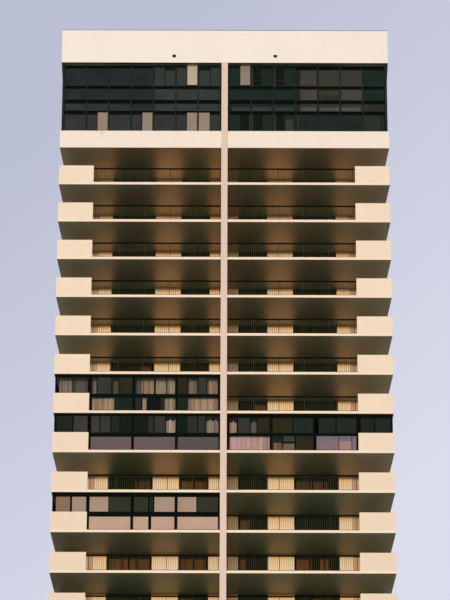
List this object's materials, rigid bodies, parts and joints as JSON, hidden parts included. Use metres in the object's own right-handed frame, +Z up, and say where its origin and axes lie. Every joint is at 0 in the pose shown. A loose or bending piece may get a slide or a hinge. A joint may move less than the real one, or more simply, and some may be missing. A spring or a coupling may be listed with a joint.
{
  "type": "half-size scale model of an apartment tower",
  "caption": "Half-size scale model of a concrete apartment tower with open balconies on two faces, corner parapets, metal railings, a central fin and a glazed penthouse.",
  "frame": {"origin": "middle of the ground slab's underside, on the ground", "axes": "+Z up the height, -Y out of the front face with its railings and fin, +X to the right as the front is looked at"},
  "size_m": [10.25, 9.05, 39.425],
  "materials": {
    "slab_concrete": "painted concrete",
    "painted_stucco": "smooth painted stucco, cream",
    "wall_stucco": "painted stucco, warm cream",
    "fin_concrete": "painted concrete, pinkish beige",
    "roof_membrane": "grey roofing felt",
    "railing_metal": "dark bronze paint",
    "enclosure_metal": "black anodised frame",
    "enclosure_panel": "opaque tinted panel",
    "window_glass": "tinted glass",
    "penthouse_metal": "dark green-black frame",
    "penthouse_glass": "dark tinted glass"
  },
  "bodies": {
    "root": {"ground_floor_slab": "slab_concrete", "floor_slabs_lower": "slab_concrete", "floor_slabs_middle": "slab_concrete", "floor_slabs_upper": "slab_concrete", "penthouse_floor_slab": "slab_concrete", "penthouse_mid_slab": "slab_concrete", "roof_slab": "roof_membrane", "roof_fascia_front": "painted_stucco", "roof_fascia_back": "painted_stucco", "roof_fascia_sides": "painted_stucco", "penthouse_band_front": "painted_stucco", "penthouse_band_back": "painted_stucco", "penthouse_band_sides": "painted_stucco", "front_fin_edge": "fin_concrete", "back_fin_edge": "fin_concrete", "front_fin_walls": "fin_concrete", "back_fin_walls": "fin_concrete", "penthouse_fin_walls": "fin_concrete", "front_party_piers": "wall_stucco", "back_party_piers": "wall_stucco", "front_middle_piers": "wall_stucco", "back_middle_piers": "wall_stucco", "front_corner_piers": "wall_stucco", "back_corner_piers": "wall_stucco", "front_corner_walls": "wall_stucco", "back_corner_walls": "wall_stucco", "left_wall_piers": "wall_stucco", "right_wall_piers": "wall_stucco", "left_window_sills": "wall_stucco", "right_window_sills": "wall_stucco", "front_corner_parapets": "painted_stucco", "back_corner_parapets": "painted_stucco", "left_side_parapets": "painted_stucco", "right_side_parapets": "painted_stucco", "front_left_railings": "railing_metal", "front_right_railings": "railing_metal", "back_left_railings": "railing_metal", "back_right_railings": "railing_metal", "enclosure_posts": "enclosure_metal", "enclosure_rails": "enclosure_metal", "enclosure_panels": "enclosure_panel", "enclosure_glass": "window_glass", "enclosure_end_glass": "window_glass", "penthouse_mullions": "penthouse_metal", "penthouse_transoms": "penthouse_metal", "penthouse_side_transoms": "penthouse_metal", "penthouse_glass_front": "penthouse_glass", "penthouse_glass_back": "penthouse_glass", "penthouse_glass_sides": "penthouse_glass"}
  },
  "joints": []
}
